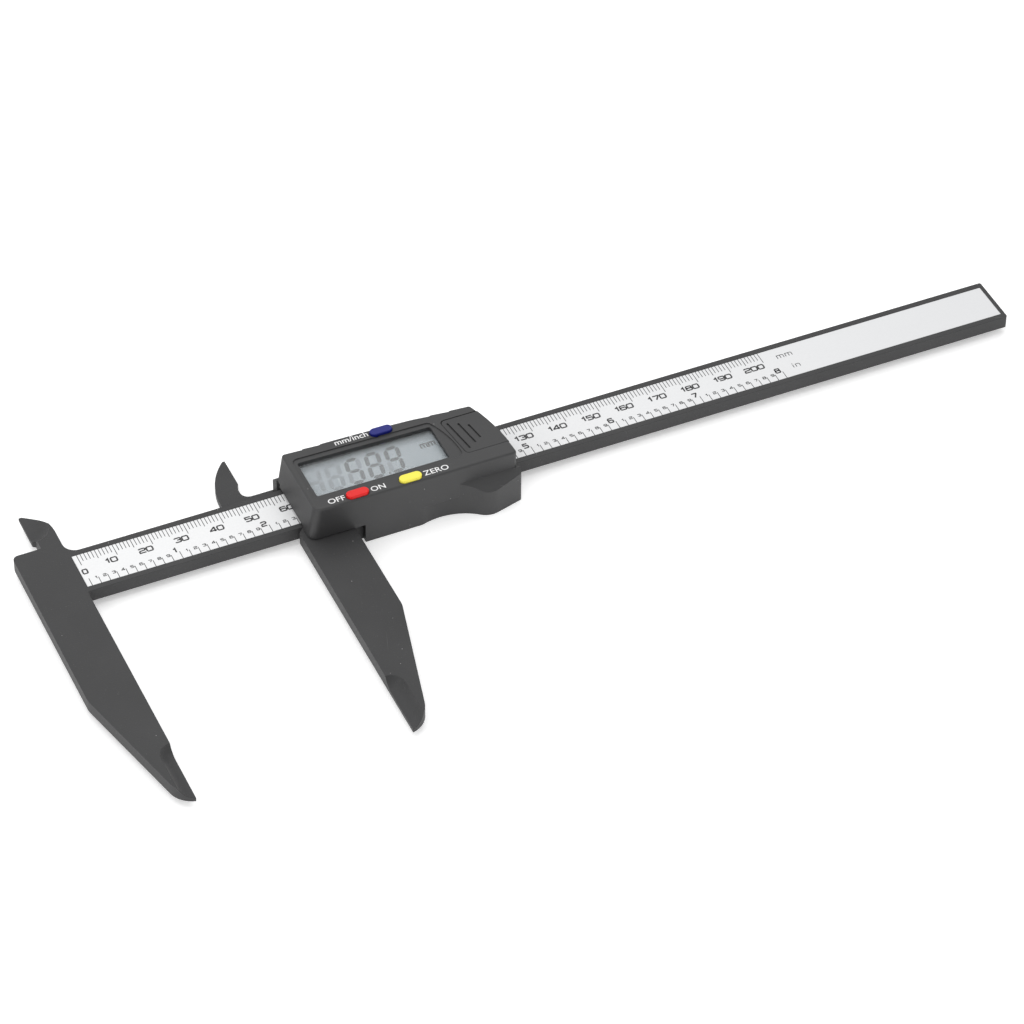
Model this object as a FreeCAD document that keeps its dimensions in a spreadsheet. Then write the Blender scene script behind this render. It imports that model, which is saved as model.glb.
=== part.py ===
import FreeCAD, Part
import Sketcher
import math
import os
from types import SimpleNamespace

# A digital caliper for lengths up to 200 mm, with long outside jaws and short inside jaws.
# +X runs along the beam away from the fixed jaw, +Y points to the inside jaws and +Z out of the display.
# The origin lies on the beam's back face, on its centre line, in the plane of the fixed measuring face.
# Everything on the slider is drawn from the sliding jaw's measuring face and placed at the opening.

Vector = FreeCAD.Vector
doc = FreeCAD.newDocument("digital_caliper")

drivingSizes = {
    # beam and jaws
    "beam_width": 15.9,
    "beam_thickness": 3.8,
    "beam_reach": 273.2,        # from the fixed measuring face to the beam's free end
    "opening": 58.9,            # distance between the outside jaws as stored
    "jaw_width": 13.8,
    "slider_jaw_width": 14.3,
    "jaw_depth": 78.0,          # from the beam's edge to the jaw tips
    "jaw_shoulder": 37.6,       # depth at which the outside jaws start to taper
    "jaw_nose": 5.1,            # width left where the rounded nose begins
    "nose_length": 5.2,
    "nose_radius": 7.0,
    "scoop_length": 18.3,       # thinned stretch at the outside jaw tips
    "scoop_radius": 4.2,
    "edge_thickness": 1.2,      # what the scoop leaves at the measuring edge
    "blade_offset": 6.4,        # inside measuring edge, behind the outside measuring face
    "blade_height": 28.7,       # tip of the inside jaws, from the centre line
    "blade_start": 17.7,        # lower end of the inside measuring edge
    "blade_relief": 0.8,
    "blade_scoop_radius": 7.5,
    "blade_edge": 0.9,
    "head_height": 12.3,
    "head_corner": 1.6,
    "root_radius": 3.6,
    "corner_radius": 0.6,
    # scale
    "label_width": 12.5,
    "label_margin": 1.1,        # bare beam beyond the label's free end
    "label_thickness": 0.2,
    "stator_thickness": 0.6,
    "label_sink": 0.1,          # label face below the beam's face
    # slider frame
    "back_gap": 0.2,            # between the beam's back and the slider's back plate
    "side_gap": 0.15,           # between the beam's edges and the rails
    "front_gap": 0.2,           # between the beam's face and what slides over it
    "back_plate": 1.95,
    "frame_start": 1.4,
    "frame_end": 60.0,
    "frame_far_beyond": 4.95,    # how far the frame stands out beyond the beam's edges
    "frame_near_beyond": 3.15,
    "frame_step": 35.0,
    "frame_step_out": 1.4,
    "rail_rise": 1.5,           # above the lowest level of what passes over the beam
    "rail_chamfer": 2.0,
    "lip_reach": 1.2,           # how far the lips cover the beam's face
    "lip_thickness": 0.7,
    "lip_start": 4.7,
    "jaw_root": 20.5,           # how far the back plate backs the sliding jaw
    "arm_edge": 7.0,
    # housing
    "housing_height": 10.2,     # above the same level
    "near_beyond": 6.2,         # how far the housing stands out beyond the beam's edges
    "far_beyond": 2.35,
    "far_end_beyond": 0.1,
    "foot_edge": 1.4,
    "face_edge": 3.1,
    "housing_end": 61.2,
    "housing_end_far": 57.0,
    "far_bow": 600.0,
    "end_bow": 66.0,
    "wall": 1.5,
    "near_wall": 2.85,
    "far_wall": 1.3,
    "near_left_round": 2.4,
    "far_left_round": 1.0,
    "end_round": 1.0,
    "rim_round": 0.7,
    "ledge_rise": 2.1,
    "notch_edge": 17.1,
    "dish_start": 33.6,
    "dish_radius": 17.0,
    "dish_turn": 48.9,
    "dish_turn_out": 2.31,
    "dish_blend": 4.0,
    "rest_rise": 2.4,
    "rest_radius": 5.4,
    "rest_leave": 53.97,
    "rest_leave_out": 3.62,
    "rest_end": 61.8,
    "rest_end_out": 1.55,
    # display
    "panel_depth": 0.3,
    "panel_round": 1.6,
    "window_round": 0.6,
    "panel_left": 4.7,
    "panel_right": 47.6,
    "panel_shoulder": 44.0,
    "panel_far": 7.05,
    "panel_far_end": 6.15,
    "panel_near": 9.6,
    "window_left": 5.8,
    "window_right": 43.9,
    "window_far": 5.5,
    "window_far_end": 4.6,
    "window_near": 8.6,
    "lens_thickness": 0.9,
    "lens_lap": 0.8,
    "display_glass": 1.6,
    "holder_wall": 0.9,
    "board_clearance": 0.2,     # between the frame's lips and the board
    "board_thickness": 1.0,
    # buttons
    "button_length": 6.4,
    "button_width": 2.7,
    "button_stand": 0.8,
    "button_travel": 0.6,
    "button_gap": 0.12,
    "near_row_inset": 1.9,      # button rows, in from the housing's sides
    "far_row_inset": 2.35,
    "off_button_at": 15.8,
    "zero_button_at": 31.0,
    # battery
    "cell_radius": 5.8,
    "cell_thickness": 5.4,
    "cell_at": 52.2,
    "cell_aside": 1.6,
    "cover_left": 46.8,
    "cover_left_near": 48.7,
    "cover_far": 5.2,
    "cover_near": 9.3,
    "cover_gap": 0.12,
    "cover_round": 1.3,
    "cover_tongue": 0.8,
    # screws
    "screw_radius": 0.75,
    "screw_head_radius": 1.2,
    "screw_head_height": 1.0,
    "screw_reach": 10.4,
    "boss_radius": 1.7,
}


class Size:
    """A dimension that knows its number and the sheet expression that gives it."""

    def __init__(self, value, text):
        self.value = value
        self.text = text

    def __add__(self, other):
        other = asSize(other)
        return Size(self.value + other.value, f"({self.text} + {other.text})")

    def __sub__(self, other):
        other = asSize(other)
        return Size(self.value - other.value, f"({self.text} - {other.text})")

    def __mul__(self, factor):
        return Size(self.value * factor, f"({self.text} * {factor})")

    def __neg__(self):
        return Size(-self.value, f"(0 - {self.text})")


def asSize(number):
    if isinstance(number, Size):
        return number
    return Size(float(number), str(float(number)) if number >= 0 else f"(0 - {-float(number)})")


def makeSheet():
    sheet = doc.addObject("Spreadsheet::Sheet", "Sizes")
    for row, (name, value) in enumerate(drivingSizes.items(), 1):
        sheet.set(f"A{row}", name)
        sheet.set(f"B{row}", str(value))
        sheet.setAlias(f"B{row}", name)
    doc.recompute()
    return SimpleNamespace(**{name: Size(float(sheet.get(name)), f"Sizes.{name}") for name in drivingSizes})


def bind(target, path, size):
    target.setExpression(path, asSize(size).text)


# ---- sketches and features --------------------------------------------------------------------

def newBody(name):
    body = doc.addObject("PartDesign::Body", name)
    body.Label = name
    return body


def originPlane(body, role):
    return next(feature for feature in body.Origin.OriginFeatures if feature.Role == role)


def newSketch(body, name, role, offset):
    sketch = body.newObject("Sketcher::SketchObject", name)
    sketch.AttachmentSupport = [(originPlane(body, role), "")]
    sketch.MapMode = "FlatFace"
    sketch.AttachmentOffset = FreeCAD.Placement(Vector(0, 0, asSize(offset).value), FreeCAD.Rotation())
    bind(sketch, "AttachmentOffset.Base.z", offset)
    return sketch


def pin(sketch, kind, element, end, size):
    """Fixes one coordinate of a sketch point, measured from the sketch's origin."""
    size = asSize(size)
    number = sketch.addConstraint(Sketcher.Constraint(kind, -1, 1, element, end, size.value))
    sketch.setExpression(f"Constraints[{number}]", size.text)


def arcBetween(start, end, radius):
    """An arc from start to end. A positive radius keeps the centre on the left of the way."""
    chord = end - start
    middle = (start + end) * 0.5
    left = Vector(-chord.y, chord.x, 0).normalize()
    offset = math.sqrt(radius * radius - chord.Length * chord.Length / 4)
    centre = middle + left * (offset if radius > 0 else -offset)
    first = math.atan2(start.y - centre.y, start.x - centre.x)
    last = math.atan2(end.y - centre.y, end.x - centre.x)
    circle = Part.Circle(centre, Vector(0, 0, 1), abs(radius))
    if radius > 0:
        return Part.ArcOfCircle(circle, first, last), 1, 2
    return Part.ArcOfCircle(circle, last, first), 2, 1


def outline(sketch, corners):
    """Draws a closed loop. A corner is (x, y), or (x, y, radius) where an arc leads on from it."""
    corners = [tuple(asSize(number) for number in corner) for corner in corners]
    points = [Vector(corner[0].value, corner[1].value, 0) for corner in corners]
    edges = []
    for index, corner in enumerate(corners):
        start = points[index]
        end = points[(index + 1) % len(points)]
        if len(corner) == 3:
            shape, first, last = arcBetween(start, end, corner[2].value)
        else:
            shape, first, last = Part.LineSegment(start, end), 1, 2
        edges.append((sketch.addGeometry(shape, False), first, last))
    for index, corner in enumerate(corners):
        element, first, last = edges[index]
        following, followingFirst, _ = edges[(index + 1) % len(edges)]
        sketch.addConstraint(Sketcher.Constraint("Coincident", element, last, following, followingFirst))
        pin(sketch, "DistanceX", element, first, corner[0])
        pin(sketch, "DistanceY", element, first, corner[1])
        if len(corner) == 3:
            radius = corner[2] if corner[2].value > 0 else -corner[2]
            number = sketch.addConstraint(Sketcher.Constraint("Radius", element, radius.value))
            sketch.setExpression(f"Constraints[{number}]", radius.text)


def circles(sketch, places, radius):
    radius = asSize(radius)
    for across, up in places:
        across, up = asSize(across), asSize(up)
        circle = Part.Circle(Vector(across.value, up.value, 0), Vector(0, 0, 1), radius.value)
        element = sketch.addGeometry(circle, False)
        pin(sketch, "DistanceX", element, 3, across)
        pin(sketch, "DistanceY", element, 3, up)
        number = sketch.addConstraint(Sketcher.Constraint("Radius", element, radius.value))
        sketch.setExpression(f"Constraints[{number}]", radius.text)


def rectangle(left, low, right, high):
    return [(left, low), (right, low), (right, high), (left, high)]


def pill(x, y, length, width):
    """A rectangle with round ends, lying along X."""
    x, y, length, width = asSize(x), asSize(y), asSize(length), asSize(width)
    straight = (length - width) * 0.5
    half = width * 0.5
    return [(x - straight, y - half), (x + straight, y - half, half * 1.0001),
            (x + straight, y + half), (x - straight, y + half, half * 1.0001)]


def addPad(body, name, draw, low, high):
    """Adds material over the drawn shape between two heights."""
    sketch = newSketch(body, name + "_sketch", "XY_Plane", low)
    draw(sketch)
    pad = body.newObject("PartDesign::Pad", name)
    pad.Profile = sketch
    bind(pad, "Length", asSize(high) - low)
    body.Tip = pad
    doc.recompute()
    return pad


def addPocket(body, name, draw, high, low):
    """Takes material away over the drawn shape, from the upper height down to the lower one."""
    before = body.Shape.Volume
    sketch = newSketch(body, name + "_sketch", "XY_Plane", high)
    draw(sketch)
    pocket = body.newObject("PartDesign::Pocket", name)
    pocket.Profile = sketch
    bind(pocket, "Length", asSize(high) - low)
    body.Tip = pocket
    doc.recompute()
    if body.Shape.Volume > before - 1e-4:
        raise RuntimeError(f"{name} cut nothing from {body.Label}")
    return pocket


def addAlong(body, name, corners, start, end):
    """Adds a profile drawn across the beam (Y, Z) and carried along X."""
    sketch = newSketch(body, name + "_sketch", "YZ_Plane", start)
    outline(sketch, corners)
    pad = body.newObject("PartDesign::Pad", name)
    pad.Profile = sketch
    bind(pad, "Length", asSize(end) - start)
    body.Tip = pad
    doc.recompute()
    return pad


def cutAlong(body, name, corners, start, end):
    """Takes away a profile drawn across the beam (Y, Z) and carried along X."""
    before = body.Shape.Volume
    sketch = newSketch(body, name + "_sketch", "YZ_Plane", end)
    outline(sketch, corners)
    pocket = body.newObject("PartDesign::Pocket", name)
    pocket.Profile = sketch
    bind(pocket, "Length", asSize(end) - start)
    body.Tip = pocket
    doc.recompute()
    if body.Shape.Volume > before - 1e-4:
        raise RuntimeError(f"{name} cut nothing from {body.Label}")
    return pocket


def cutPrimitive(body, name, kind, place, rotation, sizes):
    """Cuts a sphere, cylinder or cone whose centre or foot stands at place."""
    before = body.Shape.Volume
    tool = body.newObject(f"PartDesign::Subtractive{kind}", name)
    place = [asSize(number) for number in place]
    tool.Placement = FreeCAD.Placement(Vector(*[number.value for number in place]), rotation)
    for axis, number in zip("xyz", place):
        bind(tool, f"Placement.Base.{axis}", number)
    for key, size in sizes.items():
        bind(tool, key, size)
    body.Tip = tool
    doc.recompute()
    if body.Shape.Volume > before - 1e-4:
        raise RuntimeError(f"{name} cut nothing from {body.Label}")
    return tool


def soften(body, name, kind, size, chosen):
    """Rounds or chamfers the edges that chosen() picks."""
    base = body.Tip
    names = [f"Edge{number}" for number, edge in enumerate(base.Shape.Edges, 1) if chosen(edge)]
    if not names:
        raise RuntimeError(f"{name} found no edge on {body.Label}")
    feature = body.newObject(f"PartDesign::{kind}", name)
    feature.Base = (base, names)
    bind(feature, "Radius" if kind == "Fillet" else "Size", size)
    body.Tip = feature
    doc.recompute()
    return feature


def isUpright(edge):
    low, high = edge.Vertexes[0].Point, edge.Vertexes[-1].Point
    return abs(low.x - high.x) < 1e-3 and abs(low.y - high.y) < 1e-3 and abs(low.z - high.z) > 0.1


def uprightAt(*places):
    """Picks the upright edges that stand at the given places."""
    numbers = [(asSize(x).value, asSize(y).value) for x, y in places]

    def chosen(edge):
        point = edge.Vertexes[0].Point
        return isUpright(edge) and any(math.hypot(point.x - x, point.y - y) < 0.02 for x, y in numbers)
    return chosen


def lowUprightAt(x, y):
    """Picks the upright edge below the housing's ledge at one place."""
    x, y = asSize(x).value, asSize(y).value

    def chosen(edge):
        point = edge.Vertexes[0].Point
        return (isUpright(edge) and edge.BoundBox.ZMax < ledgeHeight.value + 0.1
                and math.hypot(point.x - x, point.y - y) < 0.05)
    return chosen


def atHeight(height, test=lambda box: True):
    """Picks the edges that lie level at one height."""
    height = asSize(height).value

    def chosen(edge):
        box = edge.BoundBox
        return abs(box.ZMin - height) < 1e-3 and abs(box.ZMax - height) < 1e-3 and test(box)
    return chosen


def onSlider(part):
    """Moves a part drawn from the sliding jaw's face to where the slider stands."""
    part.Placement = FreeCAD.Placement(Vector(size.opening.value, 0, 0), FreeCAD.Rotation())
    bind(part, "Placement.Base.x", size.opening)
    return part


def newBox(name, left, low, bottom, right, high, top, shift=0):
    """A plain block between two corners, shifted along X."""
    box = doc.addObject("Part::Box", name)
    box.Label = name
    left, low, bottom = asSize(left), asSize(low), asSize(bottom)
    start = left + shift
    bind(box, "Length", asSize(right) - left)
    bind(box, "Width", asSize(high) - low)
    bind(box, "Height", asSize(top) - bottom)
    for axis, number in zip("xyz", (start, low, bottom)):
        bind(box, f"Placement.Base.{axis}", number)
    return box


def newCylinder(name, x, y, bottom, top, radius, shift=0):
    cylinder = doc.addObject("Part::Cylinder", name)
    cylinder.Label = name
    bind(cylinder, "Radius", radius)
    bind(cylinder, "Height", asSize(top) - bottom)
    for axis, number in zip("xyz", (asSize(x) + shift, y, bottom)):
        bind(cylinder, f"Placement.Base.{axis}", number)
    return cylinder


def join(name, kind, base, tool):
    result = doc.addObject(f"Part::{kind}", name)
    result.Label = name
    result.Base = base
    result.Tool = tool
    return result


def group(name, pieces):
    """Several separate solids that share one node."""
    compound = doc.addObject("Part::Compound", name)
    compound.Label = name
    compound.Links = pieces
    return compound


# ---- heights and lines that several pieces share ------------------------------------------------

size = makeSheet()
halfBeam = size.beam_width * 0.5
beamFace = size.beam_thickness
slideFloor = size.beam_thickness + size.front_gap          # lowest level of what passes over the beam
plateTop = -size.back_gap
plateBack = plateTop - size.back_plate
railInside = halfBeam + size.side_gap
jawTip = -(halfBeam + size.jaw_depth)
shoulder = -(halfBeam + size.jaw_shoulder)
noseStart = jawTip + size.nose_length
housingFoot = slideFloor + 0.05
frameFar = halfBeam + size.frame_far_beyond
frameNear = halfBeam + size.frame_near_beyond
railHeight = slideFloor + size.rail_rise
lipTop = slideFloor + size.lip_thickness
nearSide = halfBeam + size.near_beyond
farSide = halfBeam + size.far_beyond
farSideEnd = halfBeam + size.far_end_beyond
housingFront = slideFloor + size.housing_height
ledgeHeight = slideFloor + size.ledge_rise
nearButtonRow = nearSide - size.near_row_inset
farButtonRow = farSide - size.far_row_inset
boardBottom = lipTop + size.board_clearance
ceiling = housingFront - size.wall                   # underside of the housing's front wall
boardTop = boardBottom + size.board_thickness
lensTop = ceiling
lensBottom = lensTop - size.lens_thickness
glassTop = lensBottom - 0.05
glassBottom = glassTop - size.display_glass
cellX = size.cell_at
cellY = -size.cell_aside
cellBottom = ceiling - 1.1 - size.cell_thickness
cellTop = cellBottom + size.cell_thickness
# where the screws stand on the slider: along it, and across it from the centre line
screwPlaces = [(9.0, halfBeam + 2.55), (50.5, halfBeam + 2.55),
               (6.6, -halfBeam - 3.65), (51.6, -halfBeam - 1.55)]
boardScrewPlaces = [(22.5, -halfBeam - 3.05), (46.0, -halfBeam + 2.05)]


# ---- beam and scale -----------------------------------------------------------------------------

def scoopJaw(body, name, faceX):
    """Thins an outside jaw's tip with a round-nosed cut along its measuring edge."""
    axisHeight = size.edge_thickness + size.scoop_radius
    noseY = jawTip + size.scoop_length - size.scoop_radius
    cutPrimitive(body, name + "_run", "Cylinder", (faceX, noseY, axisHeight),
                 FreeCAD.Rotation(Vector(1, 0, 0), 90),
                 {"Radius": size.scoop_radius, "Height": size.scoop_length})
    cutPrimitive(body, name + "_end", "Sphere", (faceX, noseY, axisHeight),
                 FreeCAD.Rotation(), {"Radius": size.scoop_radius})


def makeBeam():
    """The beam, the fixed outside jaw and the fixed inside jaw are one moulding."""
    body = newBody("beam")
    left = -size.jaw_width
    blade = -size.blade_offset
    corners = [
        (0, jawTip), (0, -halfBeam), (size.beam_reach, -halfBeam), (size.beam_reach, halfBeam),
        (size.root_radius, halfBeam, -size.root_radius), (0, halfBeam + size.root_radius),
        (0, size.blade_height - 13.2, 16.0), (blade + 0.8, size.blade_height), (blade, size.blade_height),
        (blade, size.blade_start), (blade + size.blade_relief, size.blade_start - 0.6),
        (blade + size.blade_relief, size.head_height), (left, size.head_height),
        (left, shoulder), (-size.jaw_nose, noseStart, size.nose_radius)]
    addPad(body, "plate", lambda sketch: outline(sketch, corners), 0, beamFace)
    recess = rectangle(size.corner_radius, -size.label_width * 0.5,
                       size.beam_reach - size.label_margin, size.label_width * 0.5)
    recessFloor = beamFace - size.label_sink - size.label_thickness - size.stator_thickness
    addPocket(body, "scale_recess", lambda sketch: outline(sketch, recess), beamFace, recessFloor)
    scoopJaw(body, "tip_scoop", 0)
    bladeAxis = size.blade_edge + size.blade_scoop_radius
    bladeRound = size.head_height + 2.9 + size.blade_scoop_radius * 0.79
    cutPrimitive(body, "blade_scoop", "Cylinder", (blade, size.blade_height + 5, bladeAxis),
                 FreeCAD.Rotation(Vector(1, 0, 0), 90),
                 {"Radius": size.blade_scoop_radius, "Height": size.blade_height + 5 - bladeRound})
    cutPrimitive(body, "blade_scoop_end", "Sphere", (blade, bladeRound, bladeAxis),
                 FreeCAD.Rotation(), {"Radius": size.blade_scoop_radius})
    soften(body, "head_round", "Fillet", size.head_corner, uprightAt((left, size.head_height)))
    soften(body, "shoulder_round", "Fillet", size.nose_radius, uprightAt((left, shoulder)))
    soften(body, "jaw_corner", "Fillet", size.corner_radius, uprightAt((0, -halfBeam)))
    soften(body, "blade_corner", "Fillet", size.corner_radius,
           uprightAt((blade + size.blade_relief, size.head_height)))
    soften(body, "beam_end_corners", "Fillet", size.corner_radius,
           uprightAt((size.beam_reach, -halfBeam), (size.beam_reach, halfBeam)))
    return body


def makeScale():
    """The copper-striped stator strip lies in the beam's recess, and the printed scale covers it."""
    edge = size.label_width * 0.5 - 0.05
    start = size.corner_radius + 0.05
    end = size.beam_reach - size.label_margin - 0.05
    floor = beamFace - size.label_sink - size.label_thickness - size.stator_thickness
    newBox("stator_strip", start, -edge, floor, end, edge, floor + size.stator_thickness)
    newBox("scale_label", start, -edge, floor + size.stator_thickness, end, edge, beamFace - size.label_sink)


# ---- slider frame -------------------------------------------------------------------------------

def makeSliderFrame():
    """The sliding jaws, the back plate and the channel round the beam are one moulding."""
    body = newBody("slider_frame")
    start, end = size.frame_start, size.frame_end
    far, near = frameFar, -frameNear
    blade = -size.blade_offset
    bladeBack = blade - size.jaw_width * 0.522
    plate = [
        (start, -size.jaw_root), (size.slider_jaw_width, -size.jaw_root),
        (size.slider_jaw_width, near - size.frame_step_out), (size.frame_step, near - size.frame_step_out),
        (size.frame_step, near), (end, near), (end, far), (blade + 1.6, far, -2.4),
        (blade - size.blade_relief, far + 2.4),
        (blade - size.blade_relief, size.blade_start - 0.2), (blade, size.blade_start + 1.0),
        (blade, size.blade_height), (blade - 0.7, size.blade_height, 21.0),
        (bladeBack, far), (bladeBack, size.arm_edge), (start, size.arm_edge)]
    addPad(body, "back_plate", lambda sketch: outline(sketch, plate), plateBack, plateTop)
    root = [(start, -size.jaw_root), (size.slider_jaw_width, -size.jaw_root),
            (size.slider_jaw_width, near - size.frame_step_out),
            (size.frame_step, near - size.frame_step_out),
            (size.frame_step, near), (end, near), (end, -railInside), (start, -railInside)]
    addPad(body, "near_rail", lambda sketch: outline(sketch, root), plateTop, beamFace)
    jaw = [(0, jawTip, size.nose_radius), (size.jaw_nose + 0.4, noseStart),
           (size.slider_jaw_width, shoulder), (size.slider_jaw_width, -railInside),
           (size.corner_radius + 1.0, -railInside), (0, -railInside - size.corner_radius - 1.0)]
    addPad(body, "lower_jaw", lambda sketch: outline(sketch, jaw), 0, beamFace)
    railTop = railHeight
    farRail = [(far, plateTop), (far, railTop - size.rail_chamfer), (far - size.rail_chamfer, railTop),
               (railInside + 1.0, railTop), (railInside + 1.0, lipTop), (railInside, lipTop),
               (railInside, plateTop)]
    addAlong(body, "far_rail", farRail, start, end - 2.0)
    farLip = rectangle(halfBeam - size.lip_reach, slideFloor, railInside + 0.5, lipTop)
    addAlong(body, "far_lip", farLip, size.lip_start, end - 2.0)
    nearWeb = rectangle(-railInside - 1.4, beamFace - 0.5, -railInside, lipTop)
    addAlong(body, "near_web", nearWeb, size.lip_start, end - 2.0)
    nearLip = rectangle(-railInside - 1.0, slideFloor, -halfBeam + size.lip_reach, lipTop)
    addAlong(body, "near_lip", nearLip, size.lip_start, end - 2.0)
    # the rail's inner corner clears the fixed inside jaw's root when the jaws are shut
    clear = size.root_radius + 0.6
    corner = [(start - 1.0, railInside - 0.4), (clear, railInside - 0.4), (start - 1.0, railInside + 2.6)]
    addPocket(body, "rail_corner", lambda sketch: outline(sketch, corner), railTop + 1.0, plateTop)
    spring = rectangle(14.0, railInside - 0.3, 46.0, railInside + 0.85)
    addPocket(body, "spring_seat", lambda sketch: outline(sketch, spring), 3.4, 0.4)
    headSeat = plateBack + size.screw_head_height + 0.1
    addPocket(body, "screw_heads", lambda sketch: circles(sketch, screwPlaces, size.screw_head_radius + 0.1),
              headSeat, plateBack - 1.0)
    addPocket(body, "screw_holes", lambda sketch: circles(sketch, screwPlaces, size.screw_radius + 0.1),
              railTop + 1.0, plateBack)
    scoopJaw(body, "tip_scoop", 0)
    soften(body, "shoulder_round", "Fillet", size.nose_radius,
           uprightAt((size.slider_jaw_width, shoulder)))
    return onSlider(body)


def makeGibSpring():
    """A bowed leaf in the far rail takes up the play against the beam's edge."""
    body = newBody("gib_spring")
    thick = 0.15
    low = railInside - 0.1
    high = railInside + 0.6
    leaf = [(14.6, high), (30.0, low), (45.4, high), (45.4, high + thick), (30.0, low + thick),
            (14.6, high + thick)]
    addPad(body, "leaf", lambda sketch: outline(sketch, leaf), 0.8, 3.0)
    return onSlider(body)


# ---- housing ------------------------------------------------------------------------------------

def housingOutline():
    return [(size.foot_edge, -nearSide), (size.housing_end, -nearSide, size.end_bow),
            (size.housing_end_far, farSideEnd, size.far_bow), (size.foot_edge, farSide)]


def leaningEdge(nearSide):
    """Picks the left end wall's leaning corner edge, at the near or the far side."""
    def chosen(edge):
        box = edge.BoundBox
        return (box.ZLength > 5 and box.XMax < size.face_edge.value + 0.1 and box.YLength < 0.1
                and (box.YMin < 0) == nearSide)
    return chosen


def makeHousing():
    """The front shell: it carries the display, the buttons and the board, and wraps the near side."""
    body = newBody("front_housing")
    near = -nearSide
    front = housingFront
    addPad(body, "shell", lambda sketch: outline(sketch, housingOutline()), housingFoot, front)
    # the left end wall leans in towards the face
    side = newSketch(body, "left_lean_sketch", "XZ_Plane", -20)
    outline(side, [(size.foot_edge - 1.0, housingFoot), (size.foot_edge, housingFoot),
                   (size.face_edge, front), (size.face_edge, front + 1.0),
                   (size.foot_edge - 1.0, front + 1.0)])
    before = body.Shape.Volume
    lean = body.newObject("PartDesign::Pocket", "left_lean")
    lean.Profile = side
    lean.Midplane = False
    lean.Reversed = False
    lean.Length = 60
    body.Tip = lean
    doc.recompute()
    if body.Shape.Volume > before - 1.0:
        lean.Reversed = True
        doc.recompute()
    soften(body, "near_left_corner", "Fillet", size.near_left_round, leaningEdge(True))
    soften(body, "far_left_corner", "Fillet", size.far_left_round, leaningEdge(False))
    soften(body, "right_corners", "Fillet", size.end_round,
           uprightAt((size.housing_end, near), (size.housing_end_far, farSideEnd)))
    soften(body, "face_rim", "Fillet", size.rim_round, atHeight(front))
    # near-side skirt with the dish before the thumb rest, as low as the back plate
    skirt = [
        (size.notch_edge, near + size.near_wall - 0.2), (size.notch_edge, near),
        (size.dish_start, near, -size.dish_radius),
        (size.dish_turn, near - size.dish_turn_out, size.rest_radius),
        (size.rest_leave, near - size.rest_leave_out), (size.rest_end, near - size.rest_end_out),
        (size.rest_end + 0.4, near), (size.rest_end - 1.6, near + size.near_wall - 0.2)]
    addPad(body, "skirt", lambda sketch: outline(sketch, skirt), plateBack, ledgeHeight)
    soften(body, "dish_entry", "Fillet", size.dish_blend, lowUprightAt(size.dish_start, near))
    # the thumb rest's upper side slopes back up to the near wall
    restTop = ledgeHeight + size.rest_rise
    block = [
        (size.dish_start, near + 2.0), (size.dish_start, near, -size.dish_radius),
        (size.dish_turn, near - size.dish_turn_out, size.rest_radius),
        (size.rest_leave, near - size.rest_leave_out), (size.rest_end, near - size.rest_end_out),
        (size.rest_end + 0.4, near), (size.rest_end - 1.6, near + 2.0)]
    addPad(body, "rest_block", lambda sketch: outline(sketch, block), ledgeHeight, restTop)
    above = [
        (near, restTop), (near - size.rest_leave_out, ledgeHeight),
        (near - size.rest_leave_out - 1.0, ledgeHeight),
        (near - size.rest_leave_out - 1.0, restTop + 1.0),
        (near, restTop + 1.0)]
    cutAlong(body, "rest_slope", above, size.dish_start - 1.0, size.rest_end + 2.0)
    soften(body, "rest_end_corner", "Fillet", 0.9, uprightAt((size.rest_end, near - size.rest_end_out)))
    # hollow inside: wide under the near buttons, narrower behind the thumb rest
    inner = [(size.face_edge + size.wall, near + size.wall), (size.dish_start + 1.6, near + size.wall),
             (size.dish_start + 1.6, near + size.near_wall),
             (size.housing_end - 1.2, near + size.near_wall, size.end_bow),
             (size.housing_end_far - 0.9, farSideEnd - size.far_wall),
             (size.face_edge + size.wall, farSide - size.far_wall)]
    addPocket(body, "hollow", lambda sketch: outline(sketch, inner), ceiling, plateBack - 1.0)
    # the far wall stops above the frame's rail, and the end walls leave the beam free
    far = farSide + 3
    farCut = rectangle(size.face_edge + size.wall, halfBeam - size.lip_reach - 0.3,
                       size.housing_end + 2, far)
    addPocket(body, "rail_step", lambda sketch: outline(sketch, farCut), railHeight + 0.1,
              housingFoot - 1.0)
    underCut = rectangle(size.foot_edge - 1.0, -halfBeam - 0.9, size.face_edge + size.wall + 0.1, far)
    addPocket(body, "label_clearance", lambda sketch: outline(sketch, underCut), housingFoot + 0.7,
              housingFoot - 1.0)
    cornerCut = rectangle(size.foot_edge - 1.0, halfBeam + 0.05, size.face_edge + size.wall + 0.1, far)
    addPocket(body, "rail_step_end", lambda sketch: outline(sketch, cornerCut), railHeight + 0.1,
              housingFoot - 1.0)
    # screw bosses stand on the frame
    addBosses(body)
    # display panel and window
    panel = [(size.panel_left, -size.panel_near), (size.panel_right, -size.panel_near),
             (size.panel_right, -size.panel_near + 3.2, 30.0), (size.panel_shoulder, size.panel_far_end),
             (size.panel_left, size.panel_far)]
    addPocket(body, "panel", lambda sketch: outline(sketch, panel), front, front - size.panel_depth)
    panelCorners = [(panel[0]), (panel[1]), (panel[3]), (panel[4])]
    soften(body, "panel_corners", "Fillet", size.panel_round, uprightAt(*panelCorners))
    window = [(size.window_left, -size.window_near), (size.window_right, -size.window_near),
              (size.window_right, size.window_far_end), (size.window_left, size.window_far)]
    addPocket(body, "window", lambda sketch: outline(sketch, window), front, ceiling)
    soften(body, "window_corners", "Fillet", size.window_round, uprightAt(*window))
    for name, x, y in buttonPlaces():
        hole = pill(x, y, size.button_length + size.button_gap * 2, size.button_width + size.button_gap * 2)
        addPocket(body, name + "_hole", lambda sketch: outline(sketch, hole), front, ceiling - 1.1)
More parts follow.
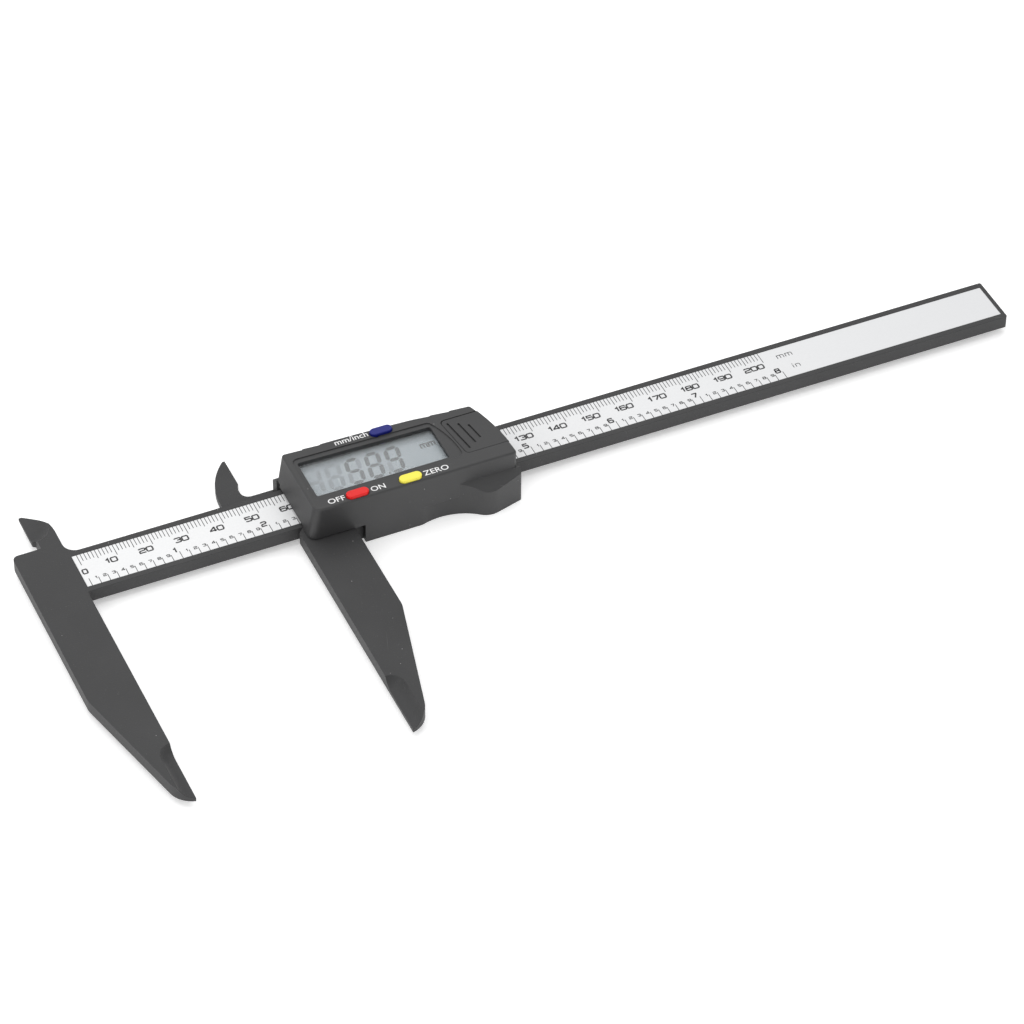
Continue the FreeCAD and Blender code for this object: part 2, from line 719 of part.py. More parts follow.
    # battery bay: slot for the cover, open at the end of the slider
    bay = coverOutline(size.cover_gap, 6.0)
    addPocket(body, "bay", lambda sketch: outline(sketch, bay), front, ceiling - 0.05)
    soften(body, "bay_corners", "Fillet", size.cover_round, uprightAt(bay[0], bay[3]))
    tongueSlot = coverOutline(size.cover_gap + size.cover_tongue, 6.0)
    addPocket(body, "tongue_slot", lambda sketch: outline(sketch, tongueSlot), ceiling - 0.05,
              ceiling - 1.05)
    return onSlider(body)


def addBosses(body):
    """Bosses for the four frame screws and two board screws, and a rib that steadies the cell."""
    near = -nearSide
    top = railHeight + 4.2
    for index, (x, y) in enumerate(screwPlaces):
        if index < 2:
            wallAt = farSideEnd - 0.9 if x > 30 else farSide - 1.2
            ear = [(x - size.boss_radius.value, wallAt), (x + size.boss_radius.value, wallAt),
                   (x + size.boss_radius.value, y, size.boss_radius * 1.0001),
                   (x - size.boss_radius.value, y)]
            addPad(body, f"boss_{index}", lambda sketch: outline(sketch, ear), railHeight, top)
        else:
            wallAt = near + 1.0
            foot = beamFace if x < 20 else lipTop
            ear = [(x + size.boss_radius.value, wallAt),
                   (x + size.boss_radius.value, y, size.boss_radius * 1.0001),
                   (x - size.boss_radius.value, y), (x - size.boss_radius.value, wallAt)]
            addPad(body, f"boss_{index}", lambda sketch: outline(sketch, ear), foot, ceiling + 0.2)
    addPocket(body, "boss_holes", lambda sketch: circles(sketch, screwPlaces, size.screw_radius),
              plateBack + size.screw_reach + 0.6, beamFace - 1.0)
    addPad(body, "board_posts", lambda sketch: circles(sketch, boardScrewPlaces, 1.2), boardTop,
           ceiling + 0.2)
    addPocket(body, "board_post_holes", lambda sketch: circles(sketch, boardScrewPlaces, 0.5),
              boardTop + 2.8, boardTop - 0.5)
    rib = rectangle(cellX - 2.0, cellY + size.cell_radius + 0.15, cellX + 2.0,
                    farSideEnd - size.far_wall + 0.6)
    addPad(body, "cell_rib", lambda sketch: outline(sketch, rib), boardTop, ceiling - 1.15)


def coverOutline(margin, overrun):
    """The battery cover's plan, grown by a margin; overrun carries it past the slider's end."""
    margin = asSize(margin)
    return [(size.cover_left_near - margin, -size.cover_near - margin),
            (size.housing_end + overrun, -size.cover_near - margin),
            (size.housing_end + overrun, size.cover_far + margin),
            (size.cover_left - margin, size.cover_far + margin)]


def makeBatteryCover():
    """The cover slides off past the end of the slider. Three ridges shape its finger grip."""
    body = newBody("battery_cover")
    front = housingFront
    plan = [(size.cover_left_near, -size.cover_near),
            (size.housing_end - 0.25, -size.cover_near, size.end_bow),
            (size.housing_end_far + 1.0, size.cover_far), (size.cover_left, size.cover_far)]
    addPad(body, "plate", lambda sketch: outline(sketch, plan), ceiling, front - 0.02)
    soften(body, "plate_corners", "Fillet", size.cover_round, uprightAt(plan[0], plan[3]))
    soften(body, "rim", "Fillet", 0.25, atHeight(front - 0.02))
    side = size.cover_tongue - 0.05
    tongue = [(size.cover_left_near + 1.0, -size.cover_near - side),
              (size.housing_end - 0.6, -size.cover_near - side, size.end_bow),
              (size.housing_end_far + 0.4, size.cover_far + side),
              (size.cover_left + 1.0, size.cover_far + side)]
    addPad(body, "tongue", lambda sketch: outline(sketch, tongue), ceiling - 0.9, ceiling - 0.1)
    neck = [(size.cover_left_near + 1.0, -size.cover_near), (size.housing_end - 2.6, -size.cover_near),
            (size.housing_end - 3.2, size.cover_far), (size.cover_left + 1.0, size.cover_far)]
    addPad(body, "neck", lambda sketch: outline(sketch, neck), ceiling - 0.5, ceiling + 0.3)
    # three grip grooves, each shorter than the last
    for number, (top, bottom, across) in enumerate(((3.7, -7.7, 48.2), (2.5, -6.2, 50.9),
                                                    (1.0, -4.9, 53.3))):
        lean = (top - bottom) * 0.155
        groove = [(across + lean, bottom), (across + lean + 0.55, bottom), (across + 0.55, top),
                  (across, top)]
        addPocket(body, f"grip_{number}", lambda sketch: outline(sketch, groove), front, front - 0.45)
    return onSlider(body)


# ---- display and board ----------------------------------------------------------------------------

def makeLens():
    """A clear plate behind the window."""
    lap = size.lens_lap
    newBox("display_lens", size.window_left - lap, -size.window_near - lap * 0.5, lensBottom,
           size.window_right + lap, size.window_far + lap * 0.45, lensTop, size.opening)


def makeDisplay():
    """The display glass sits in a holder that presses two contact strips onto the board."""
    lap = size.lens_lap - 0.2
    left, right = size.window_left - lap, size.window_right + lap
    near, far = -size.window_near - 0.3, size.window_far + 0.1
    newBox("display_glass", left, near, glassBottom, right, far, glassTop, size.opening)
    wall = size.holder_wall
    outer = newBox("holder_block", left - 0.1, near - 0.1, boardTop, right + 0.1, far + 0.1,
                   glassBottom, size.opening)
    inner = newBox("holder_well", left + wall, near + 2.6, boardTop - 1, right - wall, far - 2.6,
                   glassBottom + 1,
                   size.opening)
    frame = join("holder_frame", "Cut", outer, inner)
    slots = []
    for index, low in enumerate((near + 0.8, far - 2.0)):
        slots.append(newBox(f"strip_slot_{index}", left + wall, low, boardTop - 1, right - wall, low + 1.2,
                            glassBottom + 1, size.opening))
    join("display_holder", "Cut", frame, group("strip_slots", slots))
    strips = []
    for index, low in enumerate((near + 0.85, far - 1.95)):
        strips.append(newBox(f"strip_{index}", left + wall + 0.1, low, boardTop, right - wall - 0.1,
                             low + 1.1,
                             glassBottom, size.opening))
    group("contact_strips", strips)
    newBox("display_reflector", left + wall, near + 2.7, glassBottom - 0.35, right - wall, far - 2.7,
           glassBottom - 0.05, size.opening)


def makeBoard():
    """The circuit board: its underside senses the stator strip, its front carries chip and contacts."""
    body = newBody("main_board")
    left, right = size.face_edge + size.wall + 0.3, cellX - 2.8
    near, far = -nearSide + size.wall + 0.25, farSideEnd - size.far_wall + 0.1
    corner = screwPlaces[2][0] + 2.2
    corners = [(corner, near), (size.dish_start + 1.3, near), (size.dish_start + 1.3, near + 1.6),
               (right, near + 1.6),
               (right, far), (left, farSide - size.far_wall - 0.3),
               (left, screwPlaces[2][1] + 2.2), (corner, screwPlaces[2][1] + 2.2)]
    addPad(body, "board", lambda sketch: outline(sketch, corners), boardBottom, boardTop)
    addPocket(body, "board_screw_holes", lambda sketch: circles(sketch, boardScrewPlaces, 0.6),
              boardTop, boardBottom)
    return onSlider(body)


def makeBoardScrews():
    screws = []
    for index, (x, y) in enumerate(boardScrewPlaces):
        head = newCylinder(f"board_head_{index}", x, y, boardBottom - 0.6, boardBottom,
                           0.8, size.opening)
        shank = newCylinder(f"board_shank_{index}", x, y, boardBottom - 0.1, boardTop + 2.4, 0.5,
                            size.opening)
        screws.append(join(f"board_screw_{index}", "Fuse", head, shank))
    group("board_screws", screws)


def makeBoardParts():
    """The chip under its drop of resin, and two ceramic capacitors."""
    newCylinder("controller_chip", 24.0, -1.4, boardTop, boardTop + 0.9, 3.4, size.opening)
    pieces = [newBox(f"capacitor_{index}", 33.0 + 3.2 * index, -2.2, boardTop, 34.0 + 3.2 * index, -0.2,
                     boardTop + 0.8, size.opening) for index in range(2)]
    group("capacitors", pieces)


def buttonPlaces():
    return [("off_on_button", size.off_button_at, -nearButtonRow),
            ("zero_button", size.zero_button_at, -nearButtonRow),
            ("unit_button", size.zero_button_at, farButtonRow)]


def stemY(y):
    """The stem stands nearer the middle than the cap, so that it clears the side wall."""
    return y + 0.85 if y.value < 0 else y - 1.15


def makeButtons():
    """Each cap has two ears under the housing's face and a stem that ends over its rubber dome."""
    domes = []
    for name, x, y in buttonPlaces():
        body = newBody(name)
        y = asSize(y)
        capBottom = ceiling - 0.2
        stem = stemY(y)
        cap = pill(x, y, size.button_length, size.button_width)
        addPad(body, name + "_cap", lambda sketch: outline(sketch, cap), capBottom,
               housingFront + size.button_stand)
        ears = rectangle(x - 4.0, stem - 0.7, x + 4.0, stem + 0.7)
        addPad(body, name + "_ears", lambda sketch: outline(sketch, ears), capBottom - 0.3, capBottom)
        domeTop = boardTop + 1.0
        addPad(body, name + "_stem", lambda sketch: circles(sketch, [(x, stem)], 0.65),
               domeTop + size.button_travel + 0.1, capBottom - 0.1)
        soften(body, name + "_rim", "Fillet", 0.35, atHeight(housingFront + size.button_stand))
        onSlider(body)
        domes.append(newCylinder(name + "_dome", x, stem, boardTop, domeTop, 0.8, size.opening))
    group("button_domes", domes)


# ---- battery and screws ---------------------------------------------------------------------------

def makeBattery():
    newCylinder("button_cell", cellX, cellY, cellBottom, cellTop, size.cell_radius, size.opening)
    # bowed tongue under the cell, soldered to the board
    under = newBody("negative_contact")
    start = cellX - size.cell_radius - 1.5
    strip = [(start, boardTop), (start + 2.6, boardTop), (cellX - 3.0, cellBottom - 0.2),
             (cellX + 2.0, cellBottom - 0.2),
             (cellX + 2.0, cellBottom - 0.05), (cellX - 3.1, cellBottom - 0.05),
             (start + 2.5, boardTop + 0.15),
             (start, boardTop + 0.15)]
    profile = newSketch(under, "tongue_sketch", "XZ_Plane", 4.6)
    outline(profile, strip)
    tongue = under.newObject("PartDesign::Pad", "tongue")
    tongue.Profile = profile
    tongue.Length = 2.4
    tongue.Reversed = True
    under.Tip = tongue
    doc.recompute()
    onSlider(under)
    # upright leaf that touches the cell's rim
    rim = cellX - size.cell_radius - 0.05
    leaf = newBox("positive_leaf", rim - 0.25, cellY - 0.3, boardTop, rim, cellY + 2.1, cellTop - 1.0,
                  size.opening)
    foot = newBox("positive_foot", rim - 0.1, cellY - 0.3, boardTop, rim + 1.8, cellY + 2.1, boardTop + 0.15,
                  size.opening)
    join("positive_contact", "Fuse", leaf, foot)


def makeHousingScrews():
    screws = []
    bottom = plateBack + 0.1
    for index, (x, y) in enumerate(screwPlaces):
        head = newCylinder(f"screw_head_{index}", x, y, bottom, bottom + size.screw_head_height,
                           size.screw_head_radius, size.opening)
        shank = newCylinder(f"screw_shank_{index}", x, y, bottom + 0.5, plateBack + size.screw_reach,
                            size.screw_radius, size.opening)
        solid = join(f"screw_solid_{index}", "Fuse", head, shank)
        slotA = newBox(f"screw_slot_a_{index}", x - 0.9, y - 0.16, bottom - 1, x + 0.9, y + 0.16,
                       bottom + 0.45,
                       size.opening)
        slotB = newBox(f"screw_slot_b_{index}", x - 0.16, y - 0.9, bottom - 1, x + 0.16, y + 0.9,
                       bottom + 0.45,
                       size.opening)
        cross = join(f"screw_cross_{index}", "Fuse", slotA, slotB)
        screws.append(join(f"screw_{index}", "Cut", solid, cross))
    group("housing_screws", screws)


makeBeam()
makeScale()
makeSliderFrame()
makeGibSpring()
makeHousing()
makeBatteryCover()
makeLens()
makeDisplay()
makeBoard()
makeBoardScrews()
makeBoardParts()
makeButtons()
makeBattery()
makeHousingScrews()
doc.recompute()

nodeNames = [
    "beam", "stator_strip", "scale_label", "slider_frame", "gib_spring", "front_housing", "battery_cover",
    "display_lens", "display_glass", "display_holder", "contact_strips", "display_reflector", "main_board",
    "board_screws", "controller_chip", "capacitors", "off_on_button", "zero_button", "unit_button",
    "button_domes", "button_cell", "negative_contact", "positive_contact", "housing_screws"]

for item in doc.Objects:
    if "Invalid" in item.State or "Error" in item.State:
        raise RuntimeError(f"{item.Name} failed: {item.State}")

os.makedirs("parts", exist_ok=True)
for name in nodeNames:
    part = next(item for item in doc.Objects if item.Label == name and hasattr(item, "Shape"))
    if part.Shape.isNull() or not part.Shape.isValid():
        raise RuntimeError(f"{name} has no valid shape")
    part.Shape.exportStep(f"parts/{name}.step")
    print(name, len(part.Shape.Solids), round(part.Shape.Volume, 1))
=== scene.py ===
import bpy
import numpy as np
from mathutils import Matrix, Vector


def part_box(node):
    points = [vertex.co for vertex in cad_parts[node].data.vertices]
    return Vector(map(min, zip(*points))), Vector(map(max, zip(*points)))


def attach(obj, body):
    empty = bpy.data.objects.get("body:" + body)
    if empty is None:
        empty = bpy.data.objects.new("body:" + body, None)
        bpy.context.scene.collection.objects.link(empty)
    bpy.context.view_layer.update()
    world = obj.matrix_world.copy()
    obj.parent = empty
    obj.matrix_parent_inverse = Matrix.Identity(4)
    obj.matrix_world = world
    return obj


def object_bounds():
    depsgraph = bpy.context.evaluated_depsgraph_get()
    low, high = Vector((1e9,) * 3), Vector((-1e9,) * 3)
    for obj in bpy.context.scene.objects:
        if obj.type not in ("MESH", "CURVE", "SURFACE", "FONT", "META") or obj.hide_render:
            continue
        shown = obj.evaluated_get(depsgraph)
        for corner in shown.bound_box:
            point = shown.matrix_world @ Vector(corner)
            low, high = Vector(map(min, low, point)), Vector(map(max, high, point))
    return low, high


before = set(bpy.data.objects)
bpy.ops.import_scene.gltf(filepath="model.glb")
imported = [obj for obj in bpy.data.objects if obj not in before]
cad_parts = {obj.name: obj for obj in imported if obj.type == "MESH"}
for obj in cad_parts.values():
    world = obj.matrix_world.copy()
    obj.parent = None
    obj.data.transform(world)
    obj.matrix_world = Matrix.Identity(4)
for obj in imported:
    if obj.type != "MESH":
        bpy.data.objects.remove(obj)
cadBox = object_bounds()
mm = 0.001

# Places that the looks share with the frame: the slider stands at its stored opening.
opening = 58.9
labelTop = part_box("scale_label")[1][2] / mm
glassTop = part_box("display_glass")[1][2] / mm
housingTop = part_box("front_housing")[1][2] / mm


def newGroup(name, inputs, outputs):
    group = bpy.data.node_groups.new(name, "ShaderNodeTree")
    for label, kind, value in inputs:
        socket = group.interface.new_socket(name=label, in_out="INPUT", socket_type=kind)
        socket.default_value = value
    for label, kind in outputs:
        group.interface.new_socket(name=label, in_out="OUTPUT", socket_type=kind)
    return group, group.nodes.new("NodeGroupInput"), group.nodes.new("NodeGroupOutput")


def addNode(tree, kind, settings=None, values=None):
    node = tree.nodes.new(kind)
    for key, value in (settings or {}).items():
        setattr(node, key, value)
    for key, value in (values or {}).items():
        node.inputs[key].default_value = value
    return node


# Fine pebbled grain as left by a spark-eroded mould: a noise and a cell pattern, plus a slow tone drift.
def makeMouldedGrain():
    tree, start, end = newGroup(
        "mouldedGrain",
        [("Scale", "NodeSocketFloat", 2600.0), ("Fleck", "NodeSocketFloat", 0.5)],
        [("Height", "NodeSocketFloat"), ("Tone", "NodeSocketFloat"), ("Fleck", "NodeSocketFloat")])
    place = addNode(tree, "ShaderNodeTexCoord")
    fine = addNode(tree, "ShaderNodeTexNoise", values={"Detail": 3.0, "Roughness": 0.65})
    cells = addNode(tree, "ShaderNodeTexVoronoi")
    slow = addNode(tree, "ShaderNodeTexNoise", values={"Scale": 55.0, "Detail": 4.0})
    bright = addNode(tree, "ShaderNodeMapRange", values={"From Min": 0.66, "From Max": 0.78})
    cellScale = addNode(tree, "ShaderNodeMath", {"operation": "MULTIPLY"}, {1: 0.7})
    mix = addNode(tree, "ShaderNodeMath", {"operation": "MULTIPLY_ADD"}, {1: 0.6})
    fleck = addNode(tree, "ShaderNodeMath", {"operation": "MULTIPLY"})
    link = tree.links.new
    for texture in (fine, cells, slow):
        link(place.outputs["Object"], texture.inputs["Vector"])
    link(start.outputs["Scale"], fine.inputs["Scale"])
    link(start.outputs["Scale"], cellScale.inputs[0])
    link(cellScale.outputs[0], cells.inputs["Scale"])
    link(fine.outputs["Fac"], mix.inputs[0])
    link(cells.outputs["Distance"], mix.inputs[2])
    link(mix.outputs[0], end.inputs["Height"])
    link(slow.outputs["Fac"], end.inputs["Tone"])
    link(fine.outputs["Fac"], bright.inputs["Value"])
    link(bright.outputs[0], fleck.inputs[0])
    link(start.outputs["Fleck"], fleck.inputs[1])
    link(fleck.outputs[0], end.inputs["Fleck"])
    return tree


# Marks of handling: long thin scratches along one way, sparse specks of dust and broad smudges.
def makeHandlingMarks():
    tree, start, end = newGroup(
        "handlingMarks",
        [("Turn", "NodeSocketFloat", 0.6), ("Amount", "NodeSocketFloat", 0.5)],
        [("Scratch", "NodeSocketFloat"), ("Dust", "NodeSocketFloat"), ("Smudge", "NodeSocketFloat")])
    place = addNode(tree, "ShaderNodeTexCoord")
    turn = addNode(tree, "ShaderNodeVectorRotate", {"rotation_type": "Z_AXIS"})
    stretch = addNode(tree, "ShaderNodeMapping", values={"Scale": (70.0, 2600.0, 900.0)})
    lines = addNode(tree, "ShaderNodeTexNoise", values={"Scale": 1.0, "Detail": 2.0, "Distortion": 0.3})
    thin = addNode(tree, "ShaderNodeMapRange", values={"From Min": 0.735, "From Max": 0.8})
    specks = addNode(tree, "ShaderNodeTexVoronoi", values={"Scale": 260.0})
    small = addNode(tree, "ShaderNodeMapRange",
                    values={"From Min": 0.045, "From Max": 0.02, "To Min": 0.0, "To Max": 1.0})
    blot = addNode(tree, "ShaderNodeTexNoise", values={"Scale": 38.0, "Detail": 5.0, "Roughness": 0.6})
    scratch = addNode(tree, "ShaderNodeMath", {"operation": "MULTIPLY"})
    link = tree.links.new
    link(place.outputs["Object"], turn.inputs["Vector"])
    link(start.outputs["Turn"], turn.inputs["Angle"])
    link(turn.outputs[0], stretch.inputs["Vector"])
    link(stretch.outputs[0], lines.inputs["Vector"])
    link(lines.outputs["Fac"], thin.inputs["Value"])
    link(thin.outputs[0], scratch.inputs[0])
    link(start.outputs["Amount"], scratch.inputs[1])
    link(scratch.outputs[0], end.inputs["Scratch"])
    link(place.outputs["Object"], specks.inputs["Vector"])
    link(specks.outputs["Distance"], small.inputs["Value"])
    link(small.outputs[0], end.inputs["Dust"])
    link(place.outputs["Object"], blot.inputs["Vector"])
    link(blot.outputs["Fac"], end.inputs["Smudge"])
    return tree


mouldedGrain = makeMouldedGrain()
handlingMarks = makeHandlingMarks()
print("effect groups ready")


def newMaterial(name):
    material = bpy.data.materials.new(name)
    material.use_nodes = True
    tree = material.node_tree
    return material, tree, tree.nodes["Principled BSDF"]


# A factor of 0 gives the first colour, 1 the second, and a straight mix lies between.
def mixColour(tree, factor, first, second):
    mix = addNode(tree, "ShaderNodeMix", {"data_type": "RGBA"})
    if isinstance(factor, float):
        mix.inputs["Factor"].default_value = factor
    else:
        tree.links.new(factor, mix.inputs["Factor"])
    for socket, colour in ((mix.inputs["A"], first), (mix.inputs["B"], second)):
        if isinstance(colour, tuple):
            socket.default_value = (*colour, 1.0)
        else:
            tree.links.new(colour, socket)
    return mix.outputs["Result"]


# A value from 0 to 1 becomes low to high in a straight line.
def scaled(tree, value, low, high):
    node = addNode(tree, "ShaderNodeMapRange", values={"To Min": low, "To Max": high})
    tree.links.new(value, node.inputs["Value"])
    return node.outputs[0]


# A moulded plastic: colour drifts slowly, flecks and scratches catch light, grain feeds a bump.
def makePlastic(name, look):
    material, tree, shader = newMaterial(name)
    link = tree.links.new
    grain = addNode(tree, "ShaderNodeGroup", {"node_tree": mouldedGrain},
                    {"Scale": look["grain"], "Fleck": look["fleck"]})
    marks = addNode(tree, "ShaderNodeGroup", {"node_tree": handlingMarks},
                    {"Turn": look["turn"], "Amount": look["scratch"]})
    base = mixColour(tree, grain.outputs["Tone"], look["dark"], look["light"])
    flecked = mixColour(tree, grain.outputs["Fleck"], base, look["shine"])
    marked = mixColour(tree, marks.outputs["Scratch"], flecked, look["shine"])
    dusty = mixColour(tree, scaled(tree, marks.outputs["Dust"], 0.0, look["dust"]), marked,
                      (0.55, 0.55, 0.54))
    link(dusty, shader.inputs["Base Color"])
    link(scaled(tree, marks.outputs["Smudge"], look["rough"][0], look["rough"][1]),
         shader.inputs["Roughness"])
    soft = addNode(tree, "ShaderNodeBevel", {"samples": 4}, {"Radius": look["edge"] * mm})
    bump = addNode(tree, "ShaderNodeBump", values={"Strength": look["bump"], "Distance": 0.00004})
    link(grain.outputs["Height"], bump.inputs["Height"])
    link(soft.outputs["Normal"], bump.inputs["Normal"])
    link(bump.outputs["Normal"], shader.inputs["Normal"])
    shader.inputs["Specular IOR Level"].default_value = look["specular"]
    return material


# A rolled or plated metal: fine lines, drawn out where the scale is low, and small changes of tone.
def makeMetal(name, look):
    material, tree, shader = newMaterial(name)
    link = tree.links.new
    place = addNode(tree, "ShaderNodeTexCoord")
    stretch = addNode(tree, "ShaderNodeMapping", values={"Scale": look["lines"]})
    lines = addNode(tree, "ShaderNodeTexNoise", values={"Scale": 1.0, "Detail": 4.0})
    marks = addNode(tree, "ShaderNodeGroup", {"node_tree": handlingMarks}, {"Turn": 1.1, "Amount": 0.6})
    link(place.outputs["Object"], stretch.inputs["Vector"])
    link(stretch.outputs[0], lines.inputs["Vector"])
    tone = mixColour(tree, lines.outputs["Fac"], look["dark"], look["light"])
    link(mixColour(tree, marks.outputs["Scratch"], tone, look["dark"]), shader.inputs["Base Color"])
    link(scaled(tree, lines.outputs["Fac"], look["rough"][0], look["rough"][1]), shader.inputs["Roughness"])
    bump = addNode(tree, "ShaderNodeBump", values={"Strength": 0.25, "Distance": 0.00002})
    link(lines.outputs["Fac"], bump.inputs["Height"])
    link(bump.outputs["Normal"], shader.inputs["Normal"])
    shader.inputs["Metallic"].default_value = 1.0
    return material


beamPlastic = makePlastic("beamPlastic", {
    "dark": (0.030, 0.030, 0.031), "light": (0.046, 0.046, 0.047), "shine": (0.2, 0.2, 0.2),
    "grain": 2600.0, "fleck": 0.55, "scratch": 0.28, "turn": 0.5, "dust": 0.5, "rough": (0.5, 0.68),
    "bump": 0.55, "edge": 0.22, "specular": 0.42})
framePlastic = makePlastic("framePlastic", {
    "dark": (0.029, 0.029, 0.030), "light": (0.045, 0.045, 0.046), "shine": (0.19, 0.19, 0.19),
    "grain": 2500.0, "fleck": 0.55, "scratch": 0.25, "turn": 1.9, "dust": 0.5, "rough": (0.5, 0.68),
    "bump": 0.55, "edge": 0.22, "specular": 0.42})
shellPlastic = makePlastic("shellPlastic", {
    "dark": (0.027, 0.027, 0.028), "light": (0.040, 0.040, 0.041), "shine": (0.16, 0.16, 0.16),
    "grain": 3400.0, "fleck": 0.22, "scratch": 0.3, "turn": 0.2, "dust": 0.5, "rough": (0.40, 0.56),
    "bump": 0.35, "edge": 0.18, "specular": 0.5})
coverPlastic = makePlastic("coverPlastic", {
    "dark": (0.026, 0.026, 0.027), "light": (0.038, 0.038, 0.039), "shine": (0.15, 0.15, 0.15),
    "grain": 3100.0, "fleck": 0.22, "scratch": 0.2, "turn": 2.4, "dust": 0.4, "rough": (0.42, 0.58),
    "bump": 0.35, "edge": 0.14, "specular": 0.5})
holderPlastic = makePlastic("holderPlastic", {
    "dark": (0.62, 0.62, 0.6), "light": (0.72, 0.72, 0.7), "shine": (0.8, 0.8, 0.8), "grain": 2200.0,
    "fleck": 0.1, "scratch": 0.1, "turn": 0.0, "dust": 0.0, "rough": (0.45, 0.6), "bump": 0.2,
    "edge": 0.1, "specular": 0.45})
softRubber = makePlastic("softRubber", {
    "dark": (0.2, 0.2, 0.21), "light": (0.27, 0.27, 0.28), "shine": (0.35, 0.35, 0.35), "grain": 1800.0,
    "fleck": 0.1, "scratch": 0.0, "turn": 0.0, "dust": 0.2, "rough": (0.7, 0.85), "bump": 0.4,
    "edge": 0.1, "specular": 0.3})
chipResin = makePlastic("chipResin", {
    "dark": (0.012, 0.012, 0.013), "light": (0.02, 0.02, 0.022), "shine": (0.06, 0.06, 0.06),
    "grain": 700.0, "fleck": 0.1, "scratch": 0.0, "turn": 0.0, "dust": 0.1, "rough": (0.15, 0.3),
    "bump": 0.3, "edge": 0.4, "specular": 0.5})
capacitorClay = makePlastic("capacitorClay", {
    "dark": (0.3, 0.2, 0.12), "light": (0.42, 0.3, 0.19), "shine": (0.6, 0.55, 0.5), "grain": 1500.0,
    "fleck": 0.2, "scratch": 0.0, "turn": 0.0, "dust": 0.0, "rough": (0.4, 0.6), "bump": 0.3, "edge": 0.1,
    "specular": 0.5})


def makeButtonGloss(name, dark, light):
    material = makePlastic(name, {
        "dark": dark, "light": light, "shine": light, "grain": 1500.0, "fleck": 0.15, "scratch": 0.15,
        "turn": 0.8, "dust": 0.25, "rough": (0.3, 0.45), "bump": 0.12, "edge": 0.12, "specular": 0.3})
    shader = material.node_tree.nodes["Principled BSDF"]
    shader.inputs["Coat Weight"].default_value = 0.08
    shader.inputs["Coat Roughness"].default_value = 0.15
    return material


redGloss = makeButtonGloss("redGloss", (0.66, 0.006, 0.006), (0.80, 0.014, 0.012))
yellowGloss = makeButtonGloss("yellowGloss", (0.88, 0.76, 0.07), (0.95, 0.86, 0.12))
blueGloss = makeButtonGloss("blueGloss", (0.004, 0.007, 0.13), (0.008, 0.014, 0.20))
rolledSteel = makeMetal("rolledSteel", {
    "dark": (0.48, 0.48, 0.48), "light": (0.7, 0.7, 0.69), "lines": (300.0, 6000.0, 6000.0),
    "rough": (0.25, 0.4)})
screwSteel = makeMetal("screwSteel", {
    "dark": (0.42, 0.42, 0.43), "light": (0.62, 0.62, 0.63), "lines": (4000.0, 4000.0, 900.0),
    "rough": (0.28, 0.45)})
cellSteel = makeMetal("cellSteel", {
    "dark": (0.6, 0.6, 0.6), "light": (0.8, 0.8, 0.79), "lines": (900.0, 900.0, 900.0),
    "rough": (0.18, 0.3)})


# Silver-white film with a faint brushed sheen, slightly greyer towards the free end.
def makeFilm():
    material, tree, shader = newMaterial("scaleFilm")
    link = tree.links.new
    place = addNode(tree, "ShaderNodeTexCoord")
    stretch = addNode(tree, "ShaderNodeMapping", values={"Scale": (1500.0, 2600.0, 900.0)})
    speckle = addNode(tree, "ShaderNodeTexNoise", values={"Scale": 1.0, "Detail": 3.0})
    marks = addNode(tree, "ShaderNodeGroup", {"node_tree": handlingMarks}, {"Turn": 0.1, "Amount": 0.5})
    split = addNode(tree, "ShaderNodeSeparateXYZ")
    along = addNode(tree, "ShaderNodeMapRange", values={"From Min": 0.04, "From Max": 0.27})
    link(place.outputs["Object"], split.inputs[0])
    link(split.outputs["X"], along.inputs["Value"])
    link(place.outputs["Object"], stretch.inputs["Vector"])
    link(stretch.outputs[0], speckle.inputs["Vector"])
    run = mixColour(tree, along.outputs[0], (0.84, 0.845, 0.85), (0.72, 0.725, 0.735))
    grained = mixColour(tree, scaled(tree, speckle.outputs["Fac"], 0.0, 0.35), run, (0.62, 0.625, 0.635))
    link(mixColour(tree, scaled(tree, marks.outputs["Scratch"], 0.0, 0.5), grained, (0.5, 0.5, 0.5)),
         shader.inputs["Base Color"])
    link(scaled(tree, speckle.outputs["Fac"], 0.32, 0.5), shader.inputs["Roughness"])
    bump = addNode(tree, "ShaderNodeBump", values={"Strength": 0.15, "Distance": 0.00002})
    link(speckle.outputs["Fac"], bump.inputs["Height"])
    link(bump.outputs["Normal"], shader.inputs["Normal"])
    return material


# Ink: a little patchy in tone and in gloss.
def makeInk(name, dark, light, rough):
    material, tree, shader = newMaterial(name)
    place = addNode(tree, "ShaderNodeTexCoord")
    patch = addNode(tree, "ShaderNodeTexNoise", values={"Scale": 1800.0, "Detail": 4.0})
    tree.links.new(place.outputs["Object"], patch.inputs["Vector"])
    tree.links.new(mixColour(tree, patch.outputs["Fac"], dark, light), shader.inputs["Base Color"])
    tree.links.new(scaled(tree, patch.outputs["Fac"], rough - 0.08, rough + 0.08),
                   shader.inputs["Roughness"])
    return material


